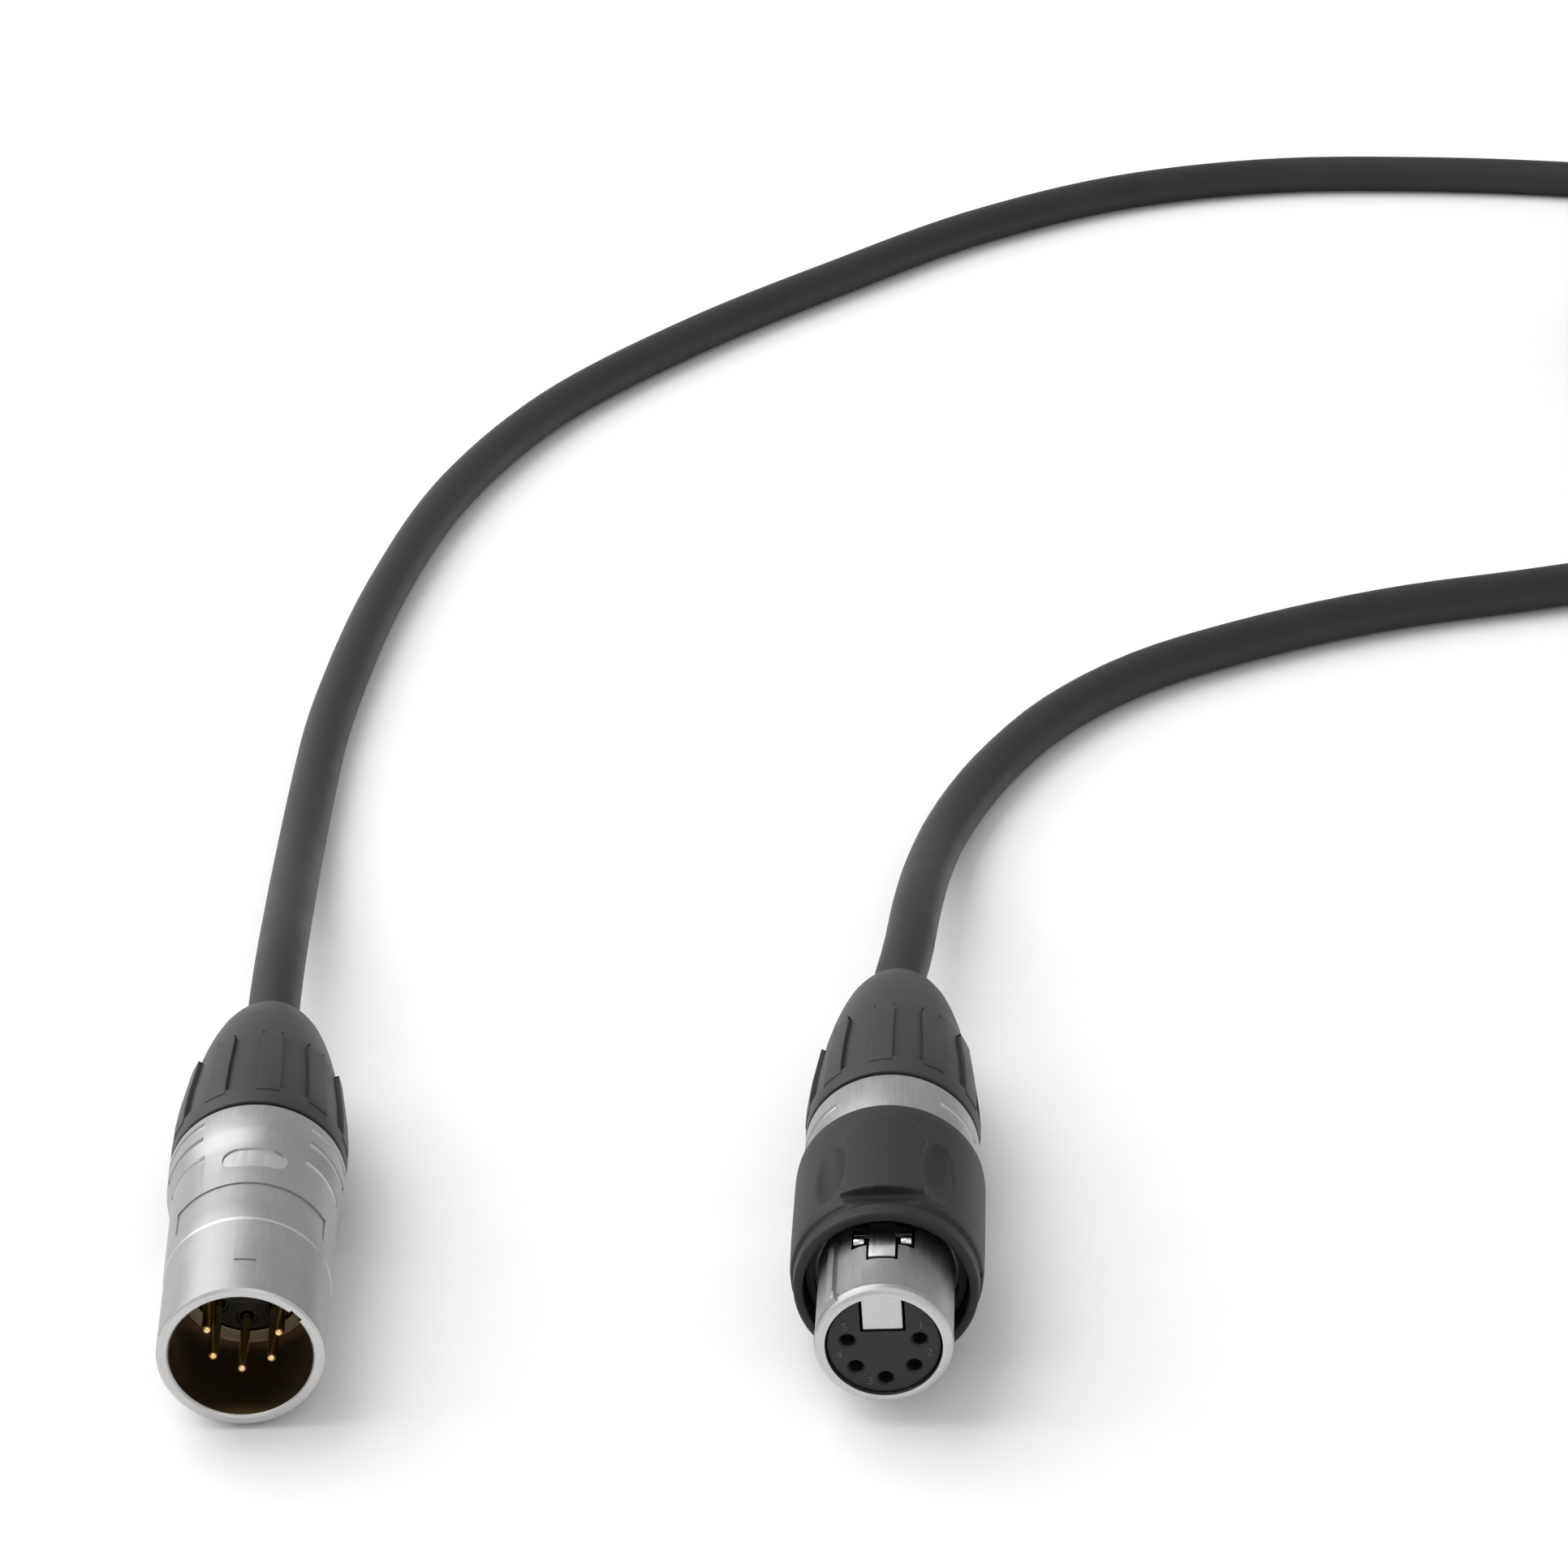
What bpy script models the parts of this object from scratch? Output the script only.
"""Five-pole XLR cable: a male and a female cable connector on one round cable, whose spare length is wound in a coil.

Each connector is built in a frame of its own: the origin is the centre of its front face, +Y runs back along
its axis towards the cable and +Z is up. An empty then lays it on the ground. Lengths are in metres.
"""

import math

import bmesh
import bpy
import numpy as np
from mathutils import Matrix, Vector

MM = 0.001

# ---- clearances ----
GAP = 0.3 * MM            # between pieces that touch or slide
SEAM_GAP = 0.2 * MM       # each side of the thin washer at the back nut
INSERT_GAP = 0.25 * MM    # round the insulating inserts and the contacts
LATCH_GAP = 0.3 * MM      # round the latch lever
MATING_GAP = 0.2 * MM     # between the female nose and the male shell's bore

# ---- mating interface, shared by both connectors ----
PIN_CIRCLE_R = 4.2 * MM
PIN_CIRCLE_DROP = 0.45 * MM   # the circle's centre lies this far below the connector's axis
PIN_ANGLES = (-90, -38, 14, 166, 218)
CONTACT_COUNT = len(PIN_ANGLES)
PIN_R = 0.6 * MM
NOSE_R = 7.9 * MM         # outside of the female nose
SOCKET_BORE_R = NOSE_R + MATING_GAP  # inside of the male shell

# ---- male shell ----
MALE_FRONT_R = SOCKET_BORE_R + 1.4 * MM
MALE_WAIST_R = MALE_FRONT_R + 0.3 * MM
MALE_REAR_R = MALE_WAIST_R + 0.8 * MM
MALE_LENGTH = 35.9 * MM
MALE_REAR_BAND = 4.4 * MM
MALE_FLARE_LENGTH = 3.5 * MM
MALE_FLARE_Y = MALE_LENGTH - MALE_REAR_BAND - MALE_FLARE_LENGTH
CAVITY_DEPTH = 14.1 * MM
MALE_INSERT_R = 6.3 * MM
MALE_INSERT_LENGTH = 11.0 * MM
PIN_TIP_Y = 3.9 * MM

# ---- female shell ----
RIM_WALL = 1.25 * MM
NOSE_LENGTH = 15.1 * MM
RIM_BORE_R = NOSE_R - RIM_WALL
BODY_R = NOSE_R + 1.4 * MM
FEMALE_LENGTH = 41.1 * MM
BAND_LENGTH = 7.3 * MM
BAND_FRONT_Y = FEMALE_LENGTH - BAND_LENGTH
BAND_R = BODY_R + 1.2 * MM
FEMALE_INSERT_Y = 0.45 * MM
FEMALE_INSERT_LENGTH = 26.0 * MM
SOCKET_HOLE_R = 0.8 * MM
SOCKET_HOLE_DEPTH = 2.6 * MM
SOCKET_BORE_DEPTH = 11.0 * MM
SOCKET_TUBE_R = 1.05 * MM
KEY_WIDTH = 4.55 * MM
KEY_LOW_Z = 2.1 * MM
KEY_SHELF_Z = 4.5 * MM
KEY_ROOT_LENGTH = 4.0 * MM
KEY_LENGTH = 10.0 * MM
KEY_CHANNEL_END = 13.0 * MM
RIDGE_ANGLE = 135
RIDGE_WIDTH = 1.1 * MM
RIDGE_HEIGHT = 0.45 * MM
RIDGE_Y = (0.6 * MM, 12.0 * MM)

# ---- latch ----
TONGUE_FRONT_Y = 6.4 * MM
TONGUE_WIDTH = 3.0 * MM
EAR_FRONT_Y = 9.4 * MM
EAR_INNER_X = 2.1 * MM
EAR_OUTER_X = 3.3 * MM
LEVER_LOW_Z = NOSE_R - 0.8 * MM
LEVER_THICKNESS = 0.7 * MM
LEVER_RELIEF = 0.9 * MM      # room below the lever over the insert's flange, for the press
PIVOT_Y = BAND_FRONT_Y - 2.6 * MM
PIVOT_Z = LEVER_LOW_Z + 0.8 * MM
TRUNNION_R = 0.5 * MM
TRUNNION_HALF = 3.6 * MM
LEVER_HALF = 2.4 * MM
BUTTON_Y = (18.7 * MM, 26.7 * MM)
BUTTON_TOP_Z = LEVER_LOW_Z + 2.0 * MM
SPRING_Y = 20.5 * MM
SPRING_R = 1.0 * MM
SPRING_WIRE_R = 0.15 * MM
SPRING_TURNS = 3

# ---- rubber sleeve ----
SLEEVE_FRONT_Y = 11.3 * MM
LIP_BORE_R = BODY_R + 0.35 * MM
LIP_R = LIP_BORE_R + 1.15 * MM
SLEEVE_R = LIP_R + 0.45 * MM
PAD_HALF_WIDTH = 4.7 * MM
PAD_RISE = 0.35 * MM
SEAL_THICKNESS = 1.0 * MM
SEAL_BORE_R = NOSE_R + 0.55 * MM

# ---- back end, the same on both connectors; distances run back from the shell's rear face ----
REAR_BORE_R = RIM_BORE_R + 0.65 * MM
FLANGE_R = REAR_BORE_R - GAP
FLANGE_THICKNESS = 1.5 * MM
RETAINER_BORE_R = FLANGE_R - 1.0 * MM
RETAINER_THICKNESS = 2.0 * MM
CUP_R = 1.05 * MM
CUP_BORE_R = 0.75 * MM
CUP_LENGTH = 4.2 * MM
NECK_R = REAR_BORE_R + 1.3 * MM
NECK_LENGTH = 8.0 * MM
WASHER_R = NECK_R + 1.5 * MM
WASHER_THICKNESS = 0.4 * MM
CHUCK_START = 1.7 * MM
CHUCK_LENGTH = 12.5 * MM
CHUCK_R = REAR_BORE_R - 0.6 * MM
CHUCK_TAIL_R = 5.2 * MM
GLAND_START = 15.5 * MM
GLAND_LENGTH = 5.0 * MM
GLAND_R = 5.5 * MM
MALE_BOOT_LENGTH = 34.0 * MM
FEMALE_BOOT_LENGTH = 36.2 * MM
BOOT_RIBS = 10
RIB_HEIGHT = 0.35 * MM
RIB_SHARE = 0.42          # of one rib pitch
RIB_START = 4.3 * MM
RIB_END = 18.2 * MM
BOOT_FRONT_R = NECK_R + 1.57 * MM
JACKET_END = 5.7 * MM     # where the cable's jacket is stripped, inside the shell

# ---- cable ----
CABLE_R = 3.3 * MM
CABLE_BORE_R = CABLE_R + GAP
MOUTH_WALL = 0.3 * MM
MOUTH_R = CABLE_BORE_R + MOUTH_WALL
WIRE_R = 0.45 * MM
WIRE_RING_R = 1.75 * MM

# ---- where each connector lies ----
MALE_FACE_XY = (-36.13 * MM, -38.45 * MM)
MALE_YAW = math.radians(2.95)
MALE_ROLL = math.radians(4.5)
MALE_PITCH = math.radians(0.9)      # the cable's own stiffness holds the nose just off the ground
MALE_TOP_RIB = math.radians(85.5)   # where the boot's uppermost rib stands, the boot having been screwed up
FEMALE_FACE_XY = (36.15 * MM, -38.07 * MM)
FEMALE_YAW = math.radians(-2.6)
FEMALE_ROLL = math.radians(-3.5)
FEMALE_TOP_RIB = math.radians(95.5)

# ---- the coil of spare cable ----
COIL_CENTRE = (231.45 * MM, 268.5 * MM)
COIL_MID_R = 46.0 * MM
COIL_TURNS_WIDE = 4
COIL_TURNS_HIGH = 2
TURN_PITCH = 2 * CABLE_R + 0.1 * MM
STRAP_THICKNESS = 1.2 * MM
STRAP_WIDTH = 12.0 * MM
STRAP_ANGLES = (150, 330)
COIL_FLOOR = STRAP_THICKNESS + GAP

FLOOR_Z = CABLE_R + 0.05 * MM
COLUMNS = 32

# Route of the cable behind the male connector, in millimetres, up to where it joins the coil.
MALE_ROUTE = (
    (-40.4, 46.5, 10.8), (-41.1, 62.0, 8.6), (-41.9, 79.8, 5.7), (-42.3, 96.0, 4.1), (-42.4, 112.5, 3.45),
    (-42.15, 127.5, 3.35), (-41.0, 144.1, 3.35), (-36.9, 178.1, 3.35), (-28.5, 215.6, 3.35),
    (-16.0, 245.7, 3.35), (8.3, 280.4, 3.35), (34.6, 309.2, 3.35), (62.5, 336.4, 3.35), (91.3, 355.0, 3.35),
    (120.3, 363.6, 3.35), (148.8, 364.4, 3.35), (178.0, 361.4, 3.35), (212.0, 353.0, 3.4),
    (245.0, 334.5, 3.8), (271.6, 305.5, 4.5), (287.5, 268.5, 4.85),
)
# Route behind the female connector, from where it leaves the coil's top layer back to the connector.
FEMALE_ROUTE = (
    (252.5, 216.6, 11.55), (237.0, 210.3, 11.3), (207.4, 198.2, 8.4), (177.8, 186.2, 4.9),
    (142.4, 176.6, 3.35), (118.8, 169.4, 3.35), (94.9, 158.0, 3.35), (79.3, 147.8, 3.35),
    (63.8, 131.1, 3.35), (56.05, 117.8, 3.4), (47.15, 93.4, 4.65), (45.2, 83.3, 6.3), (42.55, 63.5, 9.95),
    (40.85, 49.0, 11.15),
)
# Axial places, back from a connector's shell, at which the cable still runs straight on its axis.
STRAIGHT_STEPS = (22.0 * MM, 40.0 * MM)
RUN_STEP = 15.0 * MM


# ---------------------------------------------------------------- scene and finishes

for leftover in list(bpy.data.objects):
    bpy.data.objects.remove(leftover)


def finish(name, colour, roughness, metallic=0.0):
    material = bpy.data.materials.new(name)
    material.use_nodes = True
    shader = material.node_tree.nodes["Principled BSDF"]
    shader.inputs["Base Color"].default_value = (*colour, 1.0)
    shader.inputs["Roughness"].default_value = roughness
    shader.inputs["Metallic"].default_value = metallic
    material.diffuse_color = (*colour, 1.0)
    return material


NICKEL = finish("satin_nickel", (0.62, 0.62, 0.61), 0.38, 1.0)
GOLD = finish("gold_plate", (0.90, 0.66, 0.27), 0.22, 1.0)
STEEL = finish("spring_steel", (0.70, 0.70, 0.69), 0.28, 1.0)
INSERT_BLACK = finish("insert_plastic", (0.025, 0.025, 0.026), 0.45)
CLAMP_PLASTIC = finish("clamp_plastic", (0.75, 0.74, 0.70), 0.5)
BOOT_RUBBER = finish("boot_rubber", (0.060, 0.060, 0.061), 0.62)
SLEEVE_RUBBER = finish("sleeve_rubber", (0.040, 0.040, 0.041), 0.7)
SEAL_RUBBER = finish("seal_rubber", (0.012, 0.012, 0.012), 0.6)
JACKET = finish("cable_jacket", (0.042, 0.042, 0.043), 0.6)
STRAP = finish("strap_fabric", (0.02, 0.02, 0.02), 0.9)
WIRE_FINISHES = [
    finish("wire_screen", (0.70, 0.45, 0.25), 0.35, 1.0),
    finish("wire_white", (0.80, 0.79, 0.76), 0.5),
    finish("wire_red", (0.55, 0.03, 0.02), 0.5),
    finish("wire_blue", (0.02, 0.08, 0.45), 0.5),
    finish("wire_green", (0.02, 0.30, 0.08), 0.5),
]


# ---------------------------------------------------------------- shared makers

def frame_empty(name, face_xy, axis_height, yaw, pitch, roll):
    """The empty that lays a connector on the ground: rolled about its own axis, tipped, then turned."""
    empty = bpy.data.objects.new(name, None)
    bpy.context.scene.collection.objects.link(empty)
    turn = Matrix.Rotation(yaw, 4, "Z") @ Matrix.Rotation(pitch, 4, "X") @ Matrix.Rotation(roll, 4, "Y")
    empty.matrix_world = Matrix.Translation((*face_xy, axis_height)) @ turn
    return empty


def add_object(name, bm, material, parent, place=(0, 0, 0)):
    """Turns a bmesh into a named object under its parent."""
    bmesh.ops.recalc_face_normals(bm, faces=bm.faces)
    mesh = bpy.data.meshes.new(name)
    bm.to_mesh(mesh)
    bm.free()
    mesh.shade_smooth()
    mesh.set_sharp_from_angle(angle=math.radians(35))
    if material:
        mesh.materials.append(material)
    piece = bpy.data.objects.new(name, mesh)
    bpy.context.scene.collection.objects.link(piece)
    piece.parent = parent
    piece.location = place
    return piece


def polar(radius, angle, y):
    return Vector((radius * math.cos(angle), y, radius * math.sin(angle)))


def turned_mesh(profile, columns=COLUMNS, relief=None, angles=None):
    """A body of revolution about Y from (y, radius) points: a closed ring section, or a line between two poles."""
    bm = bmesh.new()
    angles = angles or [2 * math.pi * i / columns for i in range(columns)]
    rings = []
    for y, radius in profile:
        if radius < 1e-9:
            rings.append([bm.verts.new((0, y, 0))])
            continue
        swell = relief or (lambda at_y, at_radius, angle: at_radius)
        rings.append([bm.verts.new(polar(swell(y, radius, a), a, y)) for a in angles])
    closed = len(rings[0]) > 1
    pairs = list(zip(rings, rings[1:] + rings[:1])) if closed else list(zip(rings, rings[1:]))
    count = len(angles)
    for one, two in pairs:
        for i in range(count):
            j = (i + 1) % count
            if len(one) == 1:
                bm.faces.new((one[0], two[j], two[i]))
            elif len(two) == 1:
                bm.faces.new((one[i], one[j], two[0]))
            else:
                bm.faces.new((one[i], one[j], two[j], two[i]))
    return bm


def turned(name, profile, material, parent, columns=COLUMNS, place=(0, 0, 0)):
    return add_object(name, turned_mesh(profile, columns), material, parent, place)


def washer(name, front, thickness, bore, radius, material, parent, columns=COLUMNS):
    back = front + thickness
    return turned(name, [(front, bore), (front, radius), (back, radius), (back, bore)], material, parent, columns)


def prism(bm, outline, half_width):
    """Extrudes a (y, z) outline across X."""
    left = [bm.verts.new((-half_width, y, z)) for y, z in outline]
    right = [bm.verts.new((half_width, y, z)) for y, z in outline]
    bm.faces.new(left)
    bm.faces.new(list(reversed(right)))
    for i in range(len(outline)):
        j = (i + 1) % len(outline)
        bm.faces.new((left[j], left[i], right[i], right[j]))


def block(bm, x_span, y_span, z_span):
    corners = [bm.verts.new((x, y, z)) for x in x_span for y in y_span for z in z_span]
    for side in ((0, 1, 3, 2), (4, 6, 7, 5), (0, 4, 5, 1), (2, 3, 7, 6), (0, 2, 6, 4), (1, 5, 7, 3)):
        bm.faces.new([corners[i] for i in side])


def radial_block(bm, angle_deg, r_span, width, y_span):
    """A block that points outwards at an angle about Y."""
    angle = math.radians(angle_deg)
    outward = Vector((math.cos(angle), 0, math.sin(angle)))
    across = Vector((-math.sin(angle), 0, math.cos(angle)))
    corners = []
    for r in r_span:
        for y in y_span:
            for side in (-width / 2, width / 2):
                corners.append(bm.verts.new(outward * r + across * side + Vector((0, y, 0))))
    for side in ((0, 1, 3, 2), (4, 6, 7, 5), (0, 4, 5, 1), (2, 3, 7, 6), (0, 2, 6, 4), (1, 5, 7, 3)):
        bm.faces.new([corners[i] for i in side])


def rod(bm, start, end, radius, sides=10):
    """A round bar between two points."""
    start, end = Vector(start), Vector(end)
    along = end - start
    place = Matrix.Translation((start + end) / 2) @ along.to_track_quat("Z", "Y").to_matrix().to_4x4()
    bmesh.ops.create_cone(
        bm, cap_ends=True, segments=sides, radius1=radius, radius2=radius, depth=along.length, matrix=place
    )


def combine(target, name, operation, fill):
    """Cuts or joins a helper shape, which fill(bm) draws, with a Boolean modifier."""
    bm = bmesh.new()
    fill(bm)
    helper = add_object(name, bm, None, target.parent)
    helper.hide_render = True
    helper.display_type = "WIRE"
    step = target.modifiers.new(name, "BOOLEAN")
    step.operation = operation
    step.solver = "EXACT"
    step.object = helper


def recentre(piece, pivot):
    """Moves an object's origin to its joint's axis and leaves its shape where it is."""
    piece.data.transform(Matrix.Translation(-Vector(pivot)))
    piece.location = pivot


def tube(name, points, radius, material, parent=None, resolution=2):
    """A round tube with closed ends through a list of points."""
    curve = bpy.data.curves.new(name, "CURVE")
    curve.dimensions = "3D"
    curve.bevel_depth = radius
    curve.bevel_resolution = resolution
    curve.use_fill_caps = True
    curve.materials.append(material)
    spline = curve.splines.new("POLY")
    spline.points.add(len(points) - 1)
    for knot, point in zip(spline.points, points):
        knot.co = (*point, 1.0)
    spline.use_smooth = True
    piece = bpy.data.objects.new(name, curve)
    bpy.context.scene.collection.objects.link(piece)
    piece.parent = parent
    return piece


def smooth_through(points, step):
    """Points a step apart on one smooth curve that passes through every point of a route."""
    knots = np.array([tuple(p) for p in points], float)
    chords = np.linalg.norm(np.diff(knots, axis=0), axis=1)
    places = np.concatenate([[0.0], np.cumsum(chords)])
    slopes = np.gradient(knots, places, axis=0)
    dense = []
    for i, chord in enumerate(chords):
        for t in np.linspace(0, 1, 24, endpoint=False):
            t2, t3 = t * t, t * t * t
            dense.append(
                (2 * t3 - 3 * t2 + 1) * knots[i] + (t3 - 2 * t2 + t) * chord * slopes[i]
                + (3 * t2 - 2 * t3) * knots[i + 1] + (t3 - t2) * chord * slopes[i + 1]
            )
    dense = np.array(dense + [knots[-1]])
    run = np.concatenate([[0.0], np.cumsum(np.linalg.norm(np.diff(dense, axis=0), axis=1))])
    count = max(2, round(run[-1] / step) + 1)
    marks = np.linspace(0, run[-1], count)
    return np.stack([np.interp(marks, run, dense[:, k]) for k in range(3)], axis=1)


# ---------------------------------------------------------------- contacts and wires

def contact_places():
    for number, angle_deg in enumerate(PIN_ANGLES, start=1):
        yield number, polar(PIN_CIRCLE_R, math.radians(angle_deg), 0) - Vector((0, 0, PIN_CIRCLE_DROP))


def contact_rods(bm, y_span, radius):
    for _, place in contact_places():
        rod(bm, place + Vector((0, y_span[0], 0)), place + Vector((0, y_span[1], 0)), radius)


def solder_cup(start):
    """The back of a contact: a cup that the wire's end sits in, ending on the contact's axis."""
    end = start + CUP_LENGTH
    floor = end - 0.6 * CUP_LENGTH
    return [(start, CUP_R), (end, CUP_R), (end, CUP_BORE_R), (floor, CUP_BORE_R), (floor, 0)]


def pin_profile(cup_start):
    tip = [(PIN_TIP_Y, 0), (PIN_TIP_Y + 0.15 * PIN_R, 0.6 * PIN_R), (PIN_TIP_Y + PIN_R, PIN_R)]
    return tip + [(cup_start, PIN_R)] + solder_cup(cup_start)


def socket_profile(cup_start):
    front = FEMALE_INSERT_Y + SOCKET_HOLE_DEPTH
    floor = front + SOCKET_BORE_DEPTH
    bore = PIN_R + 0.05 * MM
    return [(floor, 0), (floor, bore), (front, bore), (front, SOCKET_TUBE_R), (cup_start, SOCKET_TUBE_R)] + \
        solder_cup(cup_start)


def wires(prefix, parent, cup_start, jacket_end):
    """Five insulated wires from the solder cups to the stripped end of the cable."""
    start = cup_start + 0.6 * CUP_LENGTH
    cup_end = cup_start + CUP_LENGTH
    end = jacket_end - GAP
    for number, place in contact_places():
        ring_place = polar(WIRE_RING_R, math.radians(-90) + 2 * math.pi * (number - 1) / CONTACT_COUNT, 0)
        points = [place + Vector((0, start, 0))]
        for t in (0.0, 0.3, 0.6, 0.85, 1.0):
            across = place.lerp(ring_place, t * t * (3 - 2 * t))
            points.append(across + Vector((0, cup_end + (end - cup_end) * t, 0)))
        tube(f"{prefix}_wire_{number}", points, WIRE_R, WIRE_FINISHES[number - 1], parent, resolution=1)


# ---------------------------------------------------------------- back end, shared by both connectors

# The boot's outline: share of its length, and share of the way out from its mouth's radius to its front's.
BOOT_LINE = (
    (0.0221, 1.0), (0.1657, 1.0016), (0.2901, 0.9601), (0.4006, 0.8963), (0.5525, 0.8054),
    (0.6768, 0.6858), (0.7735, 0.5662), (0.8481, 0.4466), (0.9061, 0.319), (0.953, 0.1754),
    (0.9834, 0.0718),
)


def boot_angles(top_rib):
    """Four columns to each rib: both edges of its crest and both edges of its foot."""
    pitch = 2 * math.pi / BOOT_RIBS
    crest = RIB_SHARE * pitch / 2
    foot = crest + 0.06 * pitch
    return [top_rib + i * pitch + side for i in range(BOOT_RIBS) for side in (-foot, -crest, crest, foot)]


def boot_mesh(shell_end, length, top_rib):
    """The soft back nut: a dome with a collar and raised ribs, bored for the neck, clamp, seal and cable."""
    pitch = 2 * math.pi / BOOT_RIBS
    crest = RIB_SHARE * pitch / 2
    first = WASHER_THICKNESS + 2 * SEAM_GAP

    def relief(y, radius, angle):
        behind = y - shell_end
        if radius < MOUTH_R or behind > RIB_END or radius < NECK_R + 2 * GAP:
            return radius
        offset = (angle - top_rib + pitch / 2) % pitch - pitch / 2
        on_rib = abs(offset) <= crest + 1e-6
        return radius + RIB_HEIGHT if on_rib or behind <= RIB_START else radius

    line = [
        (shell_end + along * length, MOUTH_R + out * (BOOT_FRONT_R - MOUTH_R)) for along, out in BOOT_LINE
    ]
    front = shell_end + first
    places = [shell_end + RIB_START, shell_end + RIB_END]
    stations = np.interp(places, [y for y, _ in line], [r for _, r in line])
    outer = [(front, line[0][1])]
    outer += [(shell_end + RIB_START, stations[0]), (shell_end + RIB_START + 0.25 * MM, stations[0])]
    outer += [p for p in line[1:] if p[0] < shell_end + RIB_END - MM]
    outer += [(shell_end + RIB_END - 0.3 * MM, stations[1]), (shell_end + RIB_END + 0.1 * MM, stations[1])]
    outer += [p for p in line if p[0] > shell_end + RIB_END + MM]
    mouth = shell_end + length
    outer.append((mouth, MOUTH_R))
    neck_end = shell_end + NECK_LENGTH + 0.5 * MM
    gland_front = shell_end + GLAND_START - GAP
    gland_back = shell_end + GLAND_START + GLAND_LENGTH + 0.4 * MM
    gland_room = GLAND_R + 0.4 * MM
    inner = [
        (mouth, CABLE_BORE_R), (gland_back, CABLE_BORE_R), (gland_back, gland_room), (gland_front, gland_room),
        (neck_end, CHUCK_R + 0.6 * MM), (neck_end, NECK_R + GAP), (front, NECK_R + GAP),
    ]
    return turned_mesh(outer + inner, relief=relief, angles=boot_angles(top_rib))


def back_end(prefix, parent, shell_end, cup_start, boot_length, top_rib):
    """Washer, clamp, cable seal, boot and wires behind a shell whose rear face is at shell_end."""
    washer(f"{prefix}_washer", shell_end + SEAM_GAP, WASHER_THICKNESS, NECK_R + GAP, WASHER_R, SEAL_RUBBER, parent)
    start = shell_end + CHUCK_START
    tail = start + CHUCK_LENGTH
    cone = shell_end + NECK_LENGTH - 1.3 * MM
    chuck_line = [
        (start, CABLE_BORE_R), (start, CHUCK_R), (cone, CHUCK_R), (tail, CHUCK_TAIL_R), (tail, CABLE_BORE_R),
    ]
    chuck = turned(f"{prefix}_cable_clamp", chuck_line, CLAMP_PLASTIC, parent, 24)
    for index, angle in enumerate((45, 135)):
        combine(
            chuck, f"{prefix}_clamp_slot_{index}", "DIFFERENCE",
            lambda bm, at=angle: radial_block(
                bm, at, (-CHUCK_R - MM, CHUCK_R + MM), 0.8 * MM, (cone - MM, tail + MM)
            ),
        )
    washer(
        f"{prefix}_cable_seal", shell_end + GLAND_START, GLAND_LENGTH, CABLE_BORE_R, GLAND_R, SEAL_RUBBER, parent, 20
    )
    add_object(f"{prefix}_boot", boot_mesh(shell_end, boot_length, top_rib), BOOT_RUBBER, parent)
    wires(prefix, parent, cup_start, shell_end + JACKET_END)


# ---------------------------------------------------------------- male connector

def male_connector():
    height = MALE_REAR_R - MALE_LENGTH * math.sin(MALE_PITCH)
    parent = frame_empty("male_frame", MALE_FACE_XY, height, MALE_YAW, MALE_PITCH, MALE_ROLL)
    insert_end = CAVITY_DEPTH + MALE_INSERT_LENGTH
    shoulder = insert_end - GAP
    insert_bore = MALE_INSERT_R + INSERT_GAP
    shell = turned(
        "male_shell",
        [
            (0, MALE_FRONT_R - 0.35 * MM), (0.35 * MM, MALE_FRONT_R), (MALE_FLARE_Y, MALE_WAIST_R),
            (MALE_FLARE_Y + MALE_FLARE_LENGTH, MALE_REAR_R - 0.1 * MM), (MALE_LENGTH, MALE_REAR_R),
            (MALE_LENGTH, NECK_R), (MALE_LENGTH + NECK_LENGTH, NECK_R),
            (MALE_LENGTH + NECK_LENGTH, REAR_BORE_R), (shoulder, REAR_BORE_R), (shoulder, insert_bore),
            (CAVITY_DEPTH, insert_bore), (CAVITY_DEPTH, SOCKET_BORE_R), (0.3 * MM, SOCKET_BORE_R),
            (0, SOCKET_BORE_R + 0.3 * MM),
        ],
        NICKEL, parent,
    )
    combine(
        shell, "keyway", "DIFFERENCE",
        lambda bm: radial_block(
            bm, 180 - RIDGE_ANGLE, (SOCKET_BORE_R - MM, NOSE_R + RIDGE_HEIGHT + GAP),
            RIDGE_WIDTH + 2 * GAP, (-MM, NOSE_LENGTH - 2 * MM),
        ),
    )
    combine(
        shell, "latch_pocket", "DIFFERENCE",
        lambda bm: radial_block(
            bm, 90, (SOCKET_BORE_R - MM, SOCKET_BORE_R + 0.6 * MM), TONGUE_WIDTH + 0.8 * MM, (5.8 * MM, 8.6 * MM)
        ),
    )
    flange = insert_end + FLANGE_THICKNESS
    insert = turned(
        "male_insert",
        [
            (CAVITY_DEPTH, 0), (CAVITY_DEPTH, MALE_INSERT_R), (insert_end, MALE_INSERT_R),
            (insert_end, FLANGE_R), (flange, FLANGE_R), (flange, 0),
        ],
        INSERT_BLACK, parent, 28,
    )
    combine(
        insert, "pin_holes", "DIFFERENCE",
        lambda bm: contact_rods(bm, (CAVITY_DEPTH - MM, flange + MM), PIN_R + INSERT_GAP),
    )
    retainer = flange + GAP
    washer("male_retainer", retainer, RETAINER_THICKNESS, RETAINER_BORE_R, FLANGE_R, STEEL, parent, 28)
    for number, place in contact_places():
        turned(f"male_pin_{number}", pin_profile(retainer), GOLD, parent, 10, place)
    back_end("male", parent, MALE_LENGTH, retainer, MALE_BOOT_LENGTH, MALE_TOP_RIB)
    return parent


# ---------------------------------------------------------------- female connector

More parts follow.
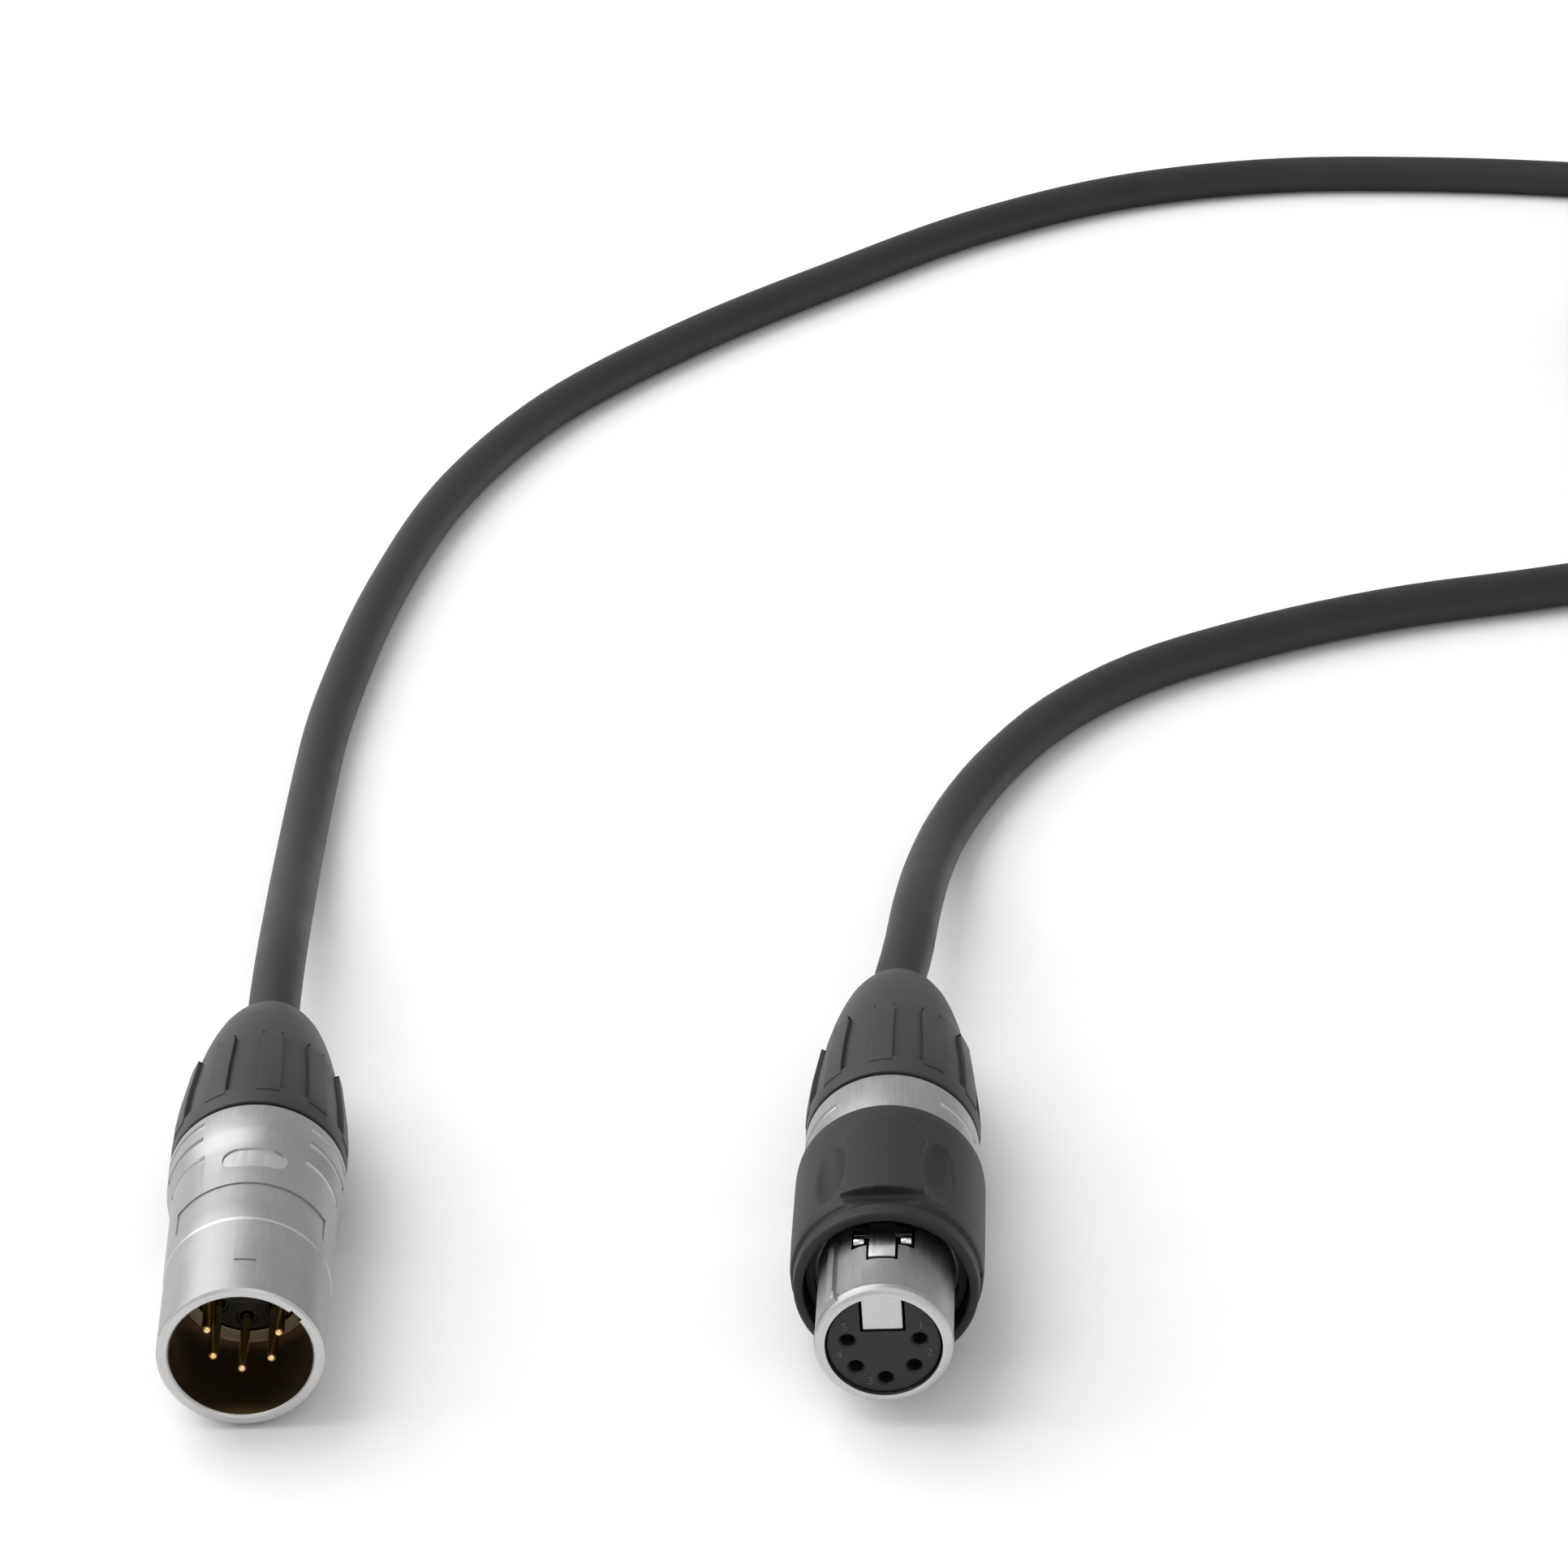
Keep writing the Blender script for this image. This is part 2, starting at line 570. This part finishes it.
def key_shape(bm):
    """The block that hangs from the rim into the insert: a deep root behind the rim, then a lower shelf."""
    front = 0.15 * MM
    top = NOSE_R - 0.6 * RIM_WALL
    outline = [
        (front, KEY_LOW_Z), (KEY_LENGTH, KEY_LOW_Z), (KEY_LENGTH, KEY_SHELF_Z), (KEY_ROOT_LENGTH, KEY_SHELF_Z),
        (KEY_ROOT_LENGTH, top), (front, top),
    ]
    prism(bm, outline, KEY_WIDTH / 2)


def female_shell(parent, insert_end):
    shoulder = insert_end - GAP
    shell = turned(
        "female_shell",
        [
            (0, NOSE_R - 0.5 * MM), (0.15 * MM, NOSE_R - 0.2 * MM), (0.5 * MM, NOSE_R), (NOSE_LENGTH, NOSE_R),
            (NOSE_LENGTH + GAP, BODY_R), (BAND_FRONT_Y, BODY_R), (BAND_FRONT_Y, BAND_R - 0.1 * MM),
            (BAND_FRONT_Y + 0.1 * MM, BAND_R), (FEMALE_LENGTH, BAND_R), (FEMALE_LENGTH, NECK_R),
            (FEMALE_LENGTH + NECK_LENGTH, NECK_R), (FEMALE_LENGTH + NECK_LENGTH, REAR_BORE_R),
            (shoulder, REAR_BORE_R), (shoulder, RIM_BORE_R), (0, RIM_BORE_R),
        ],
        NICKEL, parent,
    )
    combine(shell, "key_block", "UNION", key_shape)
    combine(
        shell, "guide_ridge", "UNION",
        lambda bm: radial_block(
            bm, RIDGE_ANGLE, (NOSE_R - 0.4 * MM, NOSE_R + RIDGE_HEIGHT), RIDGE_WIDTH, RIDGE_Y
        ),
    )
    low, high = KEY_SHELF_Z + 0.8 * MM, BODY_R + MM
    tongue_half = TONGUE_WIDTH / 2 + LATCH_GAP
    ear_half = EAR_OUTER_X + LATCH_GAP
    lever_half = LEVER_HALF + LATCH_GAP
    tongue_front = TONGUE_FRONT_Y - LATCH_GAP
    ear_front = EAR_FRONT_Y - LATCH_GAP
    cuts = {
        "tongue_slot": ((-tongue_half, tongue_half), (tongue_front, ear_front + 0.1 * MM), (low, high)),
        "ear_slot": ((-ear_half, ear_half), (ear_front, NOSE_LENGTH + 0.1 * MM), (low, high)),
        "lever_slot": ((-lever_half, lever_half), (NOSE_LENGTH, PIVOT_Y + 1.5 * MM), (low, high)),
        "trunnion_slot": (
            (-TRUNNION_HALF - GAP, TRUNNION_HALF + GAP),
            (PIVOT_Y - TRUNNION_R - GAP, PIVOT_Y + TRUNNION_R + GAP),
            (PIVOT_Z - TRUNNION_R - GAP, high),
        ),
    }
    for name, (x_span, y_span, z_span) in cuts.items():
        combine(
            shell, name, "DIFFERENCE",
            lambda bm, x=x_span, y=y_span, z=z_span: block(bm, x, y, z),
        )


def female_insert(parent, insert_end):
    radius = RIM_BORE_R - INSERT_GAP
    flange = insert_end + FLANGE_THICKNESS
    front = FEMALE_INSERT_Y
    insert = turned(
        "female_insert",
        [
            (front, 0), (front, radius), (insert_end, radius), (insert_end, FLANGE_R), (flange, FLANGE_R),
            (flange, 0),
        ],
        INSERT_BLACK, parent, 28,
    )
    bore = SOCKET_TUBE_R + INSERT_GAP
    socket_front = front + SOCKET_HOLE_DEPTH - GAP
    combine(
        insert, "front_holes", "DIFFERENCE",
        lambda bm: contact_rods(bm, (front - MM, socket_front + 0.2 * MM), SOCKET_HOLE_R),
    )
    combine(
        insert, "contact_bores", "DIFFERENCE",
        lambda bm: contact_rods(bm, (socket_front, flange + MM), bore),
    )
    channel_half = KEY_WIDTH / 2 + GAP
    channel_end = KEY_CHANNEL_END
    combine(
        insert, "key_channel", "DIFFERENCE",
        lambda bm: block(
            bm, (-channel_half, channel_half), (front - MM, channel_end + 0.1 * MM), (KEY_LOW_Z - GAP, radius + MM)
        ),
    )
    combine(
        insert, "spring_flat", "DIFFERENCE",
        lambda bm: block(
            bm, (-radius - MM, radius + MM), (channel_end, insert_end - GAP), (KEY_SHELF_Z - 0.1 * MM, radius + MM)
        ),
    )
    relief_half = LEVER_HALF + LATCH_GAP
    combine(
        insert, "lever_relief", "DIFFERENCE",
        lambda bm: block(
            bm, (-relief_half, relief_half), (insert_end - MM, flange + MM), (LEVER_LOW_Z - LEVER_RELIEF, FLANGE_R + MM)
        ),
    )


def latch(parent):
    """The one-piece latch: hooked tongue, two ears, button and trunnions; it rocks on the trunnions."""
    low, top = LEVER_LOW_Z, LEVER_LOW_Z + LEVER_THICKNESS
    plate_front = NOSE_LENGTH - 0.6 * MM
    tail = PIVOT_Y + 0.9 * MM
    bm = bmesh.new()
    prism(
        bm,
        [
            (plate_front, low), (tail, low), (tail, PIVOT_Z + 0.4 * MM), (PIVOT_Y - MM, PIVOT_Z + 0.4 * MM),
            (BUTTON_Y[1] + 0.3 * MM, top + 0.1 * MM), (BUTTON_Y[1], BUTTON_TOP_Z), (BUTTON_Y[0], BUTTON_TOP_Z),
            (BUTTON_Y[0] - 0.6 * MM, top + 0.1 * MM), (plate_front, top + 0.05 * MM),
        ],
        LEVER_HALF,
    )
    lever = add_object("latch_lever", bm, STEEL, parent)
    hook_front = TONGUE_FRONT_Y
    combine(
        lever, "latch_tongue", "UNION",
        lambda bm: prism(
            bm,
            [
                (hook_front, low), (plate_front + 0.8 * MM, low - 0.05 * MM), (plate_front + 0.8 * MM, top),
                (hook_front + 0.3 * MM, top + 0.2 * MM), (hook_front, top + 0.1 * MM),
            ],
            TONGUE_WIDTH / 2,
        ),
    )
    ear_low, ear_top = low - 0.25 * MM, low + 0.25 * MM
    cross_front = SLEEVE_FRONT_Y + 0.2 * MM
    combine(
        lever, "latch_cross", "UNION",
        lambda bm: block(bm, (-EAR_OUTER_X, EAR_OUTER_X), (cross_front, plate_front + 0.3 * MM), (ear_low, ear_top)),
    )
    for side in (-1, 1):
        x_span = sorted((side * EAR_INNER_X, side * (EAR_OUTER_X - 0.01 * MM)))
        combine(
            lever, f"latch_ear_{'left' if side < 0 else 'right'}", "UNION",
            lambda bm, x=x_span: block(
                bm, x, (EAR_FRONT_Y, cross_front + 0.5 * MM), (ear_low + 0.02 * MM, ear_top - 0.02 * MM)
            ),
        )
    combine(
        lever, "latch_trunnions", "UNION",
        lambda bm: rod(bm, (-TRUNNION_HALF, PIVOT_Y, PIVOT_Z), (TRUNNION_HALF, PIVOT_Y, PIVOT_Z), TRUNNION_R, 12),
    )
    recentre(lever, (0, PIVOT_Y, PIVOT_Z))

    low_end = KEY_SHELF_Z - 0.1 * MM + GAP + SPRING_WIRE_R
    high_end = LEVER_LOW_Z - GAP - SPRING_WIRE_R
    steps = SPRING_TURNS * 8
    points = []
    for i in range(steps + 1):
        angle = 2 * math.pi * i / 8
        rise = low_end + (high_end - low_end) * i / steps
        points.append((SPRING_R * math.cos(angle), SPRING_Y + SPRING_R * math.sin(angle), rise))
    tube("latch_spring", points, SPRING_WIRE_R, STEEL, parent, resolution=1)


def pad_relief(y, radius, angle):
    """The thumb pad over the latch button: a low rounded rise on top, with a dip in front of it."""
    if radius < LIP_BORE_R + 0.5 * MM:
        return radius
    across = radius * math.cos(angle)
    if math.sin(angle) < 0.3:
        return radius
    beside = min(1.0, max(0.0, (PAD_HALF_WIDTH + 1.2 * MM - abs(across)) / (1.2 * MM)))
    behind = y - SLEEVE_FRONT_Y
    along = min(1.0, max(0.0, (behind - 4 * MM) / (2 * MM))) * min(1.0, max(0.0, (19.5 * MM - behind) / (1.5 * MM)))
    dip = min(1.0, max(0.0, (5.5 * MM - behind) / (2.5 * MM))) * beside
    level = radius + PAD_RISE * beside * along
    return level - dip * max(0.0, level - LIP_R)


def sleeve(parent):
    back = BAND_FRONT_Y - GAP
    front = SLEEVE_FRONT_Y
    outer = [
        (front, LIP_R - 0.3 * MM), (front + 0.4 * MM, LIP_R), (front + 2.0 * MM, LIP_R + 0.1 * MM),
        (front + 2.5 * MM, SLEEVE_R - 0.15 * MM), (front + 5.0 * MM, SLEEVE_R - 0.05 * MM),
        (front + 8.0 * MM, SLEEVE_R), (back - 4.5 * MM, SLEEVE_R), (back - 2.0 * MM, SLEEVE_R - 0.15 * MM),
        (back - 0.6 * MM, BAND_R + 0.35 * MM), (back, BAND_R + 0.1 * MM),
    ]
    inner = [(back, LIP_BORE_R), (front + 0.3 * MM, LIP_BORE_R), (front, LIP_BORE_R + 0.25 * MM)]
    bm = turned_mesh(outer + inner, 40, pad_relief)
    add_object("rubber_sleeve", bm, SLEEVE_RUBBER, parent)
    seal_front = NOSE_LENGTH - GAP - SEAL_THICKNESS
    washer("female_front_seal", seal_front, SEAL_THICKNESS, SEAL_BORE_R, LIP_BORE_R - 0.35 * MM, SEAL_RUBBER, parent)


def female_connector():
    parent = frame_empty("female_frame", FEMALE_FACE_XY, SLEEVE_R, FEMALE_YAW, 0.0, FEMALE_ROLL)
    insert_end = FEMALE_INSERT_Y + FEMALE_INSERT_LENGTH
    retainer = insert_end + FLANGE_THICKNESS + GAP
    female_shell(parent, insert_end)
    female_insert(parent, insert_end)
    washer("female_retainer", retainer, RETAINER_THICKNESS, RETAINER_BORE_R, FLANGE_R, STEEL, parent, 28)
    for number, place in contact_places():
        turned(f"female_contact_{number}", socket_profile(retainer), GOLD, parent, 10, place)
    latch(parent)
    sleeve(parent)
    back_end("female", parent, FEMALE_LENGTH, retainer, FEMALE_BOOT_LENGTH, FEMALE_TOP_RIB)
    return parent


# ---------------------------------------------------------------- cable and coil

def straight_points(parent, shell_end, steps):
    return [parent.matrix_world @ Vector((0, shell_end + step, 0)) for step in steps]


def run_clear_of_coil(points, coil_outer):
    """The part of a run that stays outside the coil's solid."""
    clear = coil_outer + CABLE_R + GAP
    return [p for p in points if math.hypot(p[0] - COIL_CENTRE[0], p[1] - COIL_CENTRE[1]) >= clear]


def cable(male_frame, female_frame):
    half = COIL_TURNS_WIDE * TURN_PITCH / 2
    outer, inner = COIL_MID_R + half, COIL_MID_R - half
    steps = (JACKET_END, *STRAIGHT_STEPS)
    male_points = straight_points(male_frame, MALE_LENGTH, steps) + [Vector(p) * MM for p in MALE_ROUTE]
    female_points = [Vector(p) * MM for p in FEMALE_ROUTE]
    female_points += list(reversed(straight_points(female_frame, FEMALE_LENGTH, steps)))
    for name, points in (("male_cable_run", male_points), ("female_cable_run", female_points)):
        run = smooth_through(points, RUN_STEP)
        tube(name, run_clear_of_coil(run, outer), CABLE_R, JACKET)

    low, high = COIL_FLOOR, COIL_FLOOR + COIL_TURNS_HIGH * TURN_PITCH
    corner = 2.0 * MM
    section = [
        (low, inner + corner), (low, outer - corner), (low + corner, outer), (high - corner, outer),
        (high, outer - corner), (high, inner + corner), (high - corner, inner), (low + corner, inner),
    ]
    bm = turned_mesh(section, 40)
    bmesh.ops.rotate(bm, verts=bm.verts, matrix=Matrix.Rotation(math.pi / 2, 3, "X"))
    add_object("cable_coil", bm, JACKET, None, (*COIL_CENTRE, 0))

    bore = math.sqrt((inner * math.cos(math.pi / 40)) ** 2 - (STRAP_WIDTH / 2) ** 2) - GAP
    for index, angle in enumerate(STRAP_ANGLES, start=1):
        bm = bmesh.new()
        block(
            bm, (bore - STRAP_THICKNESS, outer + GAP + STRAP_THICKNESS),
            (-STRAP_WIDTH / 2, STRAP_WIDTH / 2), (0, high + GAP + STRAP_THICKNESS),
        )
        strap = add_object(f"coil_strap_{index}", bm, STRAP, None, (*COIL_CENTRE, 0))
        strap.rotation_euler = (0, 0, math.radians(angle))
        helper_bm = bmesh.new()
        block(helper_bm, (bore, outer + GAP), (-STRAP_WIDTH, STRAP_WIDTH), (COIL_FLOOR - GAP, high + GAP))
        helper = add_object(f"strap_inside_{index}", helper_bm, None, None, (*COIL_CENTRE, 0))
        helper.rotation_euler = strap.rotation_euler
        helper.hide_render = True
        helper.display_type = "WIRE"
        step = strap.modifiers.new("inside", "BOOLEAN")
        step.operation = "DIFFERENCE"
        step.solver = "EXACT"
        step.object = helper


male = male_connector()
female = female_connector()
cable(male, female)
